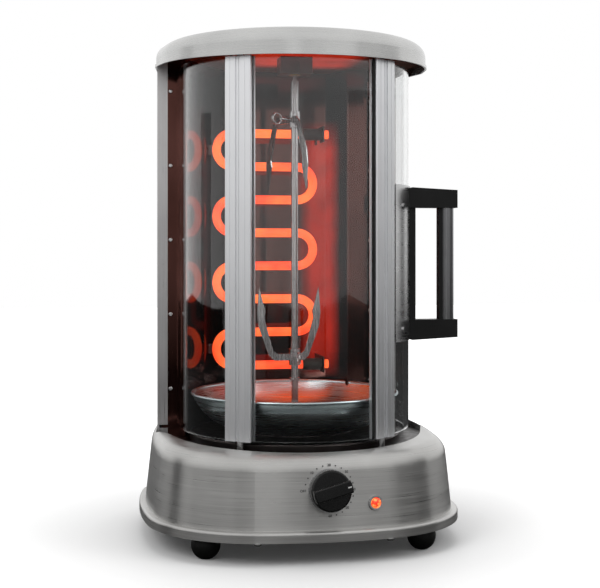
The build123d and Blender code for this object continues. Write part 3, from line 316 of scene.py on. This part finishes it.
def brushed(name, dark, light, low, high, stretch, upright_smear=False):
    """Brushed metal between two shades and two roughnesses, scratched along the axes
    with small stretch."""
    material, tree, shader = new_material(name)
    shader.inputs["Metallic"].default_value = 1.0
    scratches = noise(tree, 14, 4, stretch)
    clouds = noise(tree, 22, 2)
    share = calculate(tree, "MULTIPLY", scratches, SCRATCH_SHARE)
    mix = calculate(tree, "MULTIPLY_ADD", clouds, CLOUD_SHARE, share)
    wire(tree,
         (shades(tree, mix, dark, light), shader.inputs["Base Color"]),
         (remap(tree, scratches, low, high), shader.inputs["Roughness"]))
    bump(tree, shader, scratches, 0.00003)
    if upright_smear:
        around = tree.nodes.new("ShaderNodeTangent")
        around.direction_type = "RADIAL"
        around.axis = "Z"
        shader.inputs["Anisotropic"].default_value = 0.85
        shader.inputs["Anisotropic Rotation"].default_value = 0.25
        wire(tree, (around.outputs[0], shader.inputs["Tangent"]))
    return material


stainless = brushed("brushed_stainless", (0.42, 0.415, 0.405), (0.58, 0.575, 0.56),
                    0.27, 0.42, (1, 1, 90), upright_smear=True)
lid_steel = brushed("lid_stainless", (0.50, 0.50, 0.495), (0.62, 0.62, 0.61),
                    0.22, 0.34, (1, 1, 70), upright_smear=True)
housing_steel = brushed("housing_sheet", (0.40, 0.39, 0.39), (0.54, 0.53, 0.53),
                        0.26, 0.42, (60, 60, 1))
post_metal = brushed("anodised_posts", (0.80, 0.805, 0.82), (0.88, 0.885, 0.90),
                     0.34, 0.44, (80, 80, 1))
plate_metal = brushed("plated_fittings", (0.46, 0.46, 0.46), (0.54, 0.54, 0.54),
                      0.24, 0.32, (1, 1, 12))
grip_metal = brushed("grip_tube_steel", (0.14, 0.14, 0.145), (0.22, 0.22, 0.225),
                     0.24, 0.36, (60, 60, 1))
# The pan's cool blue tint is painted to offset the heater's red in its reflections, not the steel's
# own colour.
bowl_metal = brushed("spun_bowl", (0.56, 0.66, 0.68), (0.70, 0.80, 0.82),
                     0.24, 0.34, (1, 1, 60))
rod_metal = brushed("skewer_plate", (0.34, 0.33, 0.33), (0.55, 0.54, 0.54),
                    0.16, 0.30, (50, 50, 3))
inner_metal = brushed("sooted_brackets", (0.07, 0.05, 0.045), (0.13, 0.10, 0.09),
                      0.30, 0.45, (1, 1, 40))
print("materials so far", len(bpy.data.materials))

# %% [markdown]
# The reflector behind the heater is polished sheet that heat has browned and soot has
# dulled. It still mirrors the glowing tube, and that second set of red loops is a large
# part of how the grill looks, so this finish is a dark metal with little roughness. A red
# glow is painted into the sheet where it stands closest to the bends, and into the ceiling
# over the top run: painted light from the heater, set by position and not cast by it.

# %% Reflector, floor and heater
def tinted_mirror(name, dark, light, low, high):
    """Dark sheet that still mirrors, with patches of soot and upright smears."""
    material, tree, shader = new_material(name)
    shader.inputs["Metallic"].default_value = 1.0
    patches = noise(tree, 9, 4)
    smears = noise(tree, 16, 3, (12, 12, 1))
    wire(tree, (shades(tree, patches, dark, light), shader.inputs["Base Color"]),
         (remap(tree, smears, low, high), shader.inputs["Roughness"]))
    bump(tree, shader, patches, 0.00002)
    return material


def heat_glow(material, colour, strength, ranges):
    """Painted red glow on a sheet close to the heater, standing in for its light. Each range
    is an axis, the places where the glow starts and is full, and those where it starts to fade and
    ends."""
    tree = material.node_tree
    shader = tree.nodes["Principled BSDF"]
    parts = tree.nodes.new("ShaderNodeSeparateXYZ")
    wire(tree, (position(tree), parts.inputs[0]))
    value = remap(tree, noise(tree, 40, 2), 0.6 * strength, strength)
    for axis, start, full, fade, end in ranges:
        for low, high in ((start, full), (end, fade)):
            step = remap(tree, parts.outputs[axis], 0.0, 1.0, low, high)
            value = calculate(tree, "MULTIPLY", value, step)
    shader.inputs["Emission Color"].default_value = (*colour, 1)
    wire(tree, (value, shader.inputs["Emission Strength"]))


reflector = tinted_mirror("browned_reflector", (0.05, 0.020, 0.016), (0.12, 0.050, 0.042),
                          0.04, 0.13)
# painted red glow on the reflector, standing in for the heater's light, set by position
heat_glow(reflector, (1.0, 0.035, 0.012), 0.42,
          (("X", 0.022, 0.036, 0.054, 0.062),
           ("Y", 0.05, 0.055, 0.2, 0.21),
           ("Z", 0.135, 0.165, 0.375, 0.405)))
chamber_black = tinted_mirror("sooted_floor", (0.03, 0.026, 0.025), (0.07, 0.06, 0.058),
                              0.28, 0.45)
ceiling_metal = tinted_mirror("browned_ceiling", (0.34, 0.17, 0.13), (0.52, 0.28, 0.22),
                              0.40, 0.58)
# painted red glow on the ceiling over the top run, standing in for the heater's light
heat_glow(ceiling_metal, (1.0, 0.045, 0.015), 0.45,
          (("X", -0.05, -0.035, 0.05, 0.07),
           ("Y", -0.05, -0.02, 0.06, 0.09),
           ("Z", 0.3, 0.31, 1.0, 1.1)))

HEATER_GLOW = 1.6
hot, tree, shader = new_material("glowing_sheath")
shader.inputs["Roughness"].default_value = 0.55
heat = noise(tree, 30, 2)
red_hot = shades(tree, heat, (0.90, 0.050, 0.014), (1.0, 0.17, 0.035))
sheath = shades(tree, heat, (0.30, 0.03, 0.02), (0.45, 0.06, 0.03))
wire(tree, (red_hot, shader.inputs["Emission Color"]), (sheath, shader.inputs["Base Color"]))
shader.inputs["Emission Strength"].default_value = HEATER_GLOW
print("heater glows at", HEATER_GLOW)

# %% [markdown]
# Toughened glass of this sort is 4 mm thick with a faint grey cast. The panes are real
# closed solids, so a plain transmitting shader bends and mirrors light as they would.
# A very faint change in roughness, like a few smears, keeps it from looking like nothing
# at all.

# %% Glass, plastics and rubber
pane_glass, tree, shader = new_material("grey_glass")
shader.inputs["Base Color"].default_value = (0.93, 0.94, 0.94, 1)
shader.inputs["Transmission Weight"].default_value = 1.0
shader.inputs["IOR"].default_value = 1.45
smears = noise(tree, 18, 3, (1, 1, 0.4))
wire(tree, (remap(tree, smears, 0.0, 0.035), shader.inputs["Roughness"]))


def moulded(name, dark, light, roughness, grain, depth, coat=0.0):
    """Moulded plastic or rubber with a fine grain, grain times a metre."""
    material, tree, shader = new_material(name)
    fine = noise(tree, grain, 2)
    wire(tree, (shades(tree, noise(tree, 30, 2), dark, light), shader.inputs["Base Color"]),
         (remap(tree, fine, roughness - 0.05, roughness + 0.07), shader.inputs["Roughness"]))
    shader.inputs["Coat Weight"].default_value = coat
    shader.inputs["Specular IOR Level"].default_value = 0.22
    bump(tree, shader, fine, depth)
    return material


black_plastic = moulded("black_plastic", (0.004, 0.004, 0.004), (0.009, 0.009, 0.009),
                        0.42, 900, 0.00002)
knob_plastic = moulded("knob_plastic", (0.004, 0.004, 0.004), (0.008, 0.008, 0.008),
                       0.25, 500, 0.00001, coat=0.25)
foot_rubber = moulded("foot_rubber", (0.004, 0.004, 0.004), (0.010, 0.010, 0.009),
                      0.5, 700, 0.00003)
inside_plastic = moulded("inner_moulding", (0.03, 0.03, 0.03), (0.05, 0.05, 0.05),
                         0.5, 600, 0.00002)
ceramic = moulded("sooted_ceramic", (0.05, 0.045, 0.04), (0.11, 0.10, 0.09),
                  0.6, 400, 0.00003)
brass = brushed("turned_brass", (0.50, 0.34, 0.13), (0.66, 0.48, 0.20),
                0.25, 0.40, (1, 1, 40))

lamp_red, tree, shader = new_material("lit_red_lens")
facets = tree.nodes.new("ShaderNodeTexVoronoi")
facets.inputs["Scale"].default_value = 420
wire(tree, (position(tree), facets.inputs["Vector"]),
     (shades(tree, facets.outputs["Distance"], (1.0, 0.42, 0.10), (0.95, 0.03, 0.01)),
      shader.inputs["Emission Color"]))
shader.inputs["Base Color"].default_value = (0.7, 0.03, 0.02, 1)
shader.inputs["Roughness"].default_value = 0.12
shader.inputs["Emission Strength"].default_value = 1.0
bump(tree, shader, facets.outputs["Distance"], 0.0004)
print("materials", len(bpy.data.materials))

# %% [markdown]
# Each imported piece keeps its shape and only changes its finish. A table from finish to
# pieces makes it easy to see what shares a material, and easy to spot a piece left out.

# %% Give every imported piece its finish
WEARS = {
    stainless: ["base_housing"],
    lid_steel: ["lid"],
    housing_steel: ["rear_housing", "base_plate", "motor_bracket", "gear_motor"],
    post_metal: ["left_post", "right_post"],
    plate_metal: ["upper_hinge_shoe", "lower_hinge_shoe", "upper_pivot", "lower_pivot",
                  "outer_clamp_plate", "inner_clamp_plate", "post_studs", "handle_screws",
                  "lid_screws", "foot_screws", "base_screws", "motor_screws", "timer_nut",
                  "lamp_bezel", "liner_rivets", "spindle_bush"],
    grip_metal: ["grip_tube"],
    bowl_metal: ["drip_pan"],
    rod_metal: ["skewer_rod", "skewer_sleeve", "lower_fork", "upper_fork",
                "lower_fork_screw", "upper_fork_screw", "drive_spindle"],
    inner_metal: ["top_bracket", "bend_brackets", "cold_end_brackets"],
    reflector: ["inner_liner"],
    chamber_black: ["chamber_floor"],
    ceiling_metal: ["ceiling_plate"],
    hot: ["heating_element"],
    ceramic: ["element_sleeves"],
    pane_glass: ["left_glass", "front_glass", "door_glass"],
    black_plastic: ["upper_handle_bracket", "lower_handle_bracket", "handle_strut",
                    "grip_strip"],
    knob_plastic: ["timer_knob"],
    foot_rubber: ["feet"],
    inside_plastic: ["timer_body", "lamp_body", "cable_gland"],
    brass: ["top_bush", "timer_shaft"],
    lamp_red: ["lamp_lens"],
}
dressed = set()
for material, names in WEARS.items():
    for name in names:
        for slot in nodes[name].material_slots:
            slot.material = material
        dressed.add(name)
print("without a finish:", sorted(set(nodes) - dressed))

# %% [markdown]
# The timer's scale is printed on the base round the knob: OFF and then ten-minute
# numbers with two dots between. The wall is bowed and leans in, so each figure gets its
# own small frame on the wall instead of one flat sheet that would float off it.

# %% The wall's shape and the print
FRONT_BOW, BASE_FRONT, RIM_STEP, RIM_Z = 0.330, 0.149, 0.005, 0.020
LEAN = math.radians(6)
KNOB_X, KNOB_Z = 0.005, 0.0625
DIAL_RADIUS = 0.0216
DIAL_MARKS, DIAL_STEP = 19, 15          # marks from OFF onwards, degrees from each to the next
DOTS_TO_NUMBER = 3
OFF_SHIFT = 0.0015                      # OFF is wider than a number, so it stands further out


def wall_frame(x, z, lift=0.0001):
    """Matrix whose X runs along the front wall, Y up it and Z out of it."""
    bow = FRONT_BOW - RIM_STEP - math.tan(LEAN) * (z - RIM_Z)
    out_x = x / bow
    out_y = -math.sqrt(1 - out_x ** 2)
    origin = Vector((AXIS_X + x, AXIS_Y + FRONT_BOW - BASE_FRONT + bow * out_y, z))
    outward = Vector((out_x * math.cos(LEAN), out_y * math.cos(LEAN), math.sin(LEAN)))
    along = Vector((-out_y, out_x, 0))
    up = outward.cross(along)
    turn = Matrix((along, up, outward)).transposed().to_4x4()
    return Matrix.Translation(origin + outward * lift) @ turn


def round_knob(radius, angle):
    """Place on the wall at a radius and an angle from the knob's middle."""
    return (KNOB_X + radius * math.cos(angle),
            KNOB_Z + radius * math.sin(angle) * math.cos(LEAN))


ink, tree, shader = new_material("black_print")
wear = noise(tree, 1800, 2)
wire(tree, (shades(tree, wear, (0.008, 0.008, 0.008), (0.03, 0.03, 0.03)),
            shader.inputs["Base Color"]))
shader.inputs["Roughness"].default_value = 0.5


def print_word(name, text, x, z, size):
    """A printed word, centred at a place on the wall."""
    data = bpy.data.curves.new(name, "FONT")
    data.body = text
    data.size = size
    data.extrude = 0.00003
    data.offset = 0.00006
    data.align_x = "CENTER"
    data.align_y = "CENTER"
    data.materials.append(ink)
    piece = bpy.data.objects.new(name, data)
    bpy.context.collection.objects.link(piece)
    piece.matrix_world = wall_frame(x, z)
    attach(piece, "frame")


def print_dot(name, x, z, radius=0.0006):
    """A printed round dot at a place on the wall."""
    mesh = bmesh.new()
    bmesh.ops.create_cone(mesh, cap_ends=True, segments=20, radius1=radius, radius2=radius,
                          depth=0.00006)
    piece = new_mesh(name, mesh, ink)
    piece.matrix_world = wall_frame(x, z)
    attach(piece, "frame")


for step in range(DIAL_MARKS):
    x, z = round_knob(DIAL_RADIUS, math.radians(180 - DIAL_STEP * step))
    if step == 0:
        print_word("dial_off", "OFF", x - OFF_SHIFT, z, 0.0030)
    elif step % DOTS_TO_NUMBER == 0:
        minutes = step // DOTS_TO_NUMBER * 10
        print_word(f"dial_{minutes}", str(minutes), x, z, 0.0031)
    else:
        print_dot(f"dial_dot_{step}", x, z)
print("dial printed")

# %% [markdown]
# The thin bright line round the knob is the edge of the ring it sits in. It lies on the
# bowed wall, so each of its points is found from the same wall frame as the print. The
# pale mark lies on the knob's grip bar and turns with the knob.

# %% Ring round the knob and the knob's mark
RING_INNER, RING_OUTER, RING_LIFT = 0.0178, 0.0186, 0.0004
RING_FOOT = 0.00002
RING_STEPS = 96


def wall_ring(name, inner, outer, lift, material):
    """A flat ring on the front wall, round the knob."""
    mesh = bmesh.new()
    loops = []
    for radius, height in ((inner, RING_FOOT), (inner, lift), (outer, lift), (outer, RING_FOOT)):
        loop = []
        for step in range(RING_STEPS):
            x, z = round_knob(radius, 2 * math.pi * step / RING_STEPS)
            loop.append(mesh.verts.new(wall_frame(x, z, height).translation))
        loops.append(loop)
    for low, high in zip(loops, loops[1:] + loops[:1]):
        for i in range(RING_STEPS):
            j = (i + 1) % RING_STEPS
            mesh.faces.new((low[i], low[j], high[j], high[i]))
    bmesh.ops.recalc_face_normals(mesh, faces=mesh.faces)
    piece = new_mesh(name, mesh, material)
    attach(piece, "frame")


wall_ring("knob_ring", RING_INNER, RING_OUTER, RING_LIFT, plate_metal)

KNOB_TOP = 0.0183                       # the grip bar's face over the wall
KNOB_POINTS = math.radians(15)
MARK_SIZE = (0.0034, 0.0011, 0.00012)
MARK_PLACE = (0.0142, 0, 0.00005)
pale_mark, tree, shader = new_material("pale_mark")
wire(tree, (shades(tree, noise(tree, 900, 2), (0.55, 0.55, 0.54), (0.75, 0.75, 0.74)),
            shader.inputs["Base Color"]))
shader.inputs["Roughness"].default_value = 0.5
mesh = bmesh.new()
bmesh.ops.create_cube(mesh, size=1.0)
bmesh.ops.scale(mesh, vec=MARK_SIZE, verts=mesh.verts)
bmesh.ops.translate(mesh, vec=MARK_PLACE, verts=mesh.verts)
mark = new_mesh("knob_mark", mesh, pale_mark)
mark.matrix_world = wall_frame(KNOB_X, KNOB_Z, KNOB_TOP) @ Matrix.Rotation(KNOB_POINTS, 4, "Z")
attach(mark, "timer_knob")
print("ring round the knob, mark on its bar")

# %% [markdown]
# The sheet behind the heater has slanted corners. They send a second and a third picture
# of the glowing bends out to both sides, which the plain box of the model cannot do.

# %% Reflector with slanted corners
SHEET = 0.0008
REFLECTOR_PLAN = ((-0.127, 0.0212), (-0.104, 0.0212), (-0.0823, 0.0633), (-0.0530, 0.0998),
                  (0.0519, 0.0998), (0.0682, 0.0685), (0.0850, 0.0632), (0.1150, 0.0632))
REFLECTOR_LOW, REFLECTOR_HIGH = 0.0882, 0.455


def beside(line, gap):
    """The line moved sideways by gap, to its left as it runs."""
    moved = []
    for i, point in enumerate(line):
        here = Vector(point)
        before = Vector(line[max(i - 1, 0)])
        after = Vector(line[min(i + 1, len(line) - 1)])
        ways = [end - start for start, end in ((before, here), (here, after)) if end != start]
        lefts = [Vector((-way.y, way.x)).normalized() for way in ways]
        lean = sum(lefts, Vector((0, 0))).normalized()
        moved.append(here + lean * (gap / lean.dot(lefts[0])))
    return moved


def bent_sheet(name, line, gap, low, high, material):
    """An upright sheet bent along a line seen from above."""
    plan = [Vector(point) for point in line] + beside(line, gap)[::-1]
    count = len(plan)
    mesh = bmesh.new()
    bottom, top = [[mesh.verts.new((AXIS_X + point.x, AXIS_Y + point.y, z)) for point in plan]
                   for z in (low, high)]
    for i in range(count):
        j = (i + 1) % count
        mesh.faces.new((bottom[i], bottom[j], top[j], top[i]))
    for i in range(len(line) - 1):
        j = count - 1 - i
        for row in (bottom, top):
            mesh.faces.new((row[i], row[i + 1], row[j - 1], row[j]))
    bmesh.ops.recalc_face_normals(mesh, faces=mesh.faces)
    return new_mesh(name, mesh, material)


slanted = bent_sheet("slanted_reflector", REFLECTOR_PLAN, SHEET,
                     REFLECTOR_LOW, REFLECTOR_HIGH, reflector)
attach(slanted, "frame")
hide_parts("inner_liner")
print("reflector plan", len(REFLECTOR_PLAN), "points")

# %% [markdown]
# A dark rubber seal runs up beside the right post, where the fixed pane meets it. It is
# only a thin line in the picture, but it parts the bright post from the dark chamber.

# %% Pane seal
SEAL_LOW, SEAL_HIGH = 0.099, 0.442
SEAL_ANGLE, SEAL_HALF_ANGLE = 29.7, 0.55
SEAL_INNER, SEAL_OUTER = 0.1101, 0.1112
seal_rubber = moulded("seal_rubber", (0.012, 0.011, 0.011), (0.02, 0.02, 0.02),
                      0.6, 800, 0.00002)


def upright_strip(name, angle, inner, outer, half_angle, material):
    """A strip that stands on the glass circle, from its angle and radii."""
    corners = ((outer, -half_angle), (outer, half_angle), (inner, half_angle), (inner, -half_angle))
    mesh = bmesh.new()
    rows = []
    for z in (SEAL_LOW, SEAL_HIGH):
        row = []
        for radius, turn in corners:
            a = math.radians(angle + turn)
            place = (AXIS_X + radius * math.sin(a), AXIS_Y - radius * math.cos(a), z)
            row.append(mesh.verts.new(place))
        rows.append(row)
    for i in range(4):
        j = (i + 1) % 4
        mesh.faces.new((rows[0][i], rows[0][j], rows[1][j], rows[1][i]))
    mesh.faces.new(rows[0][::-1])
    mesh.faces.new(rows[1])
    bmesh.ops.recalc_face_normals(mesh, faces=mesh.faces)
    piece = new_mesh(name, mesh, material)
    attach(piece, "frame")


upright_strip("front_pane_seal", SEAL_ANGLE, SEAL_INNER, SEAL_OUTER, SEAL_HALF_ANGLE, seal_rubber)
print("seal stands from", SEAL_LOW, "to", SEAL_HIGH)
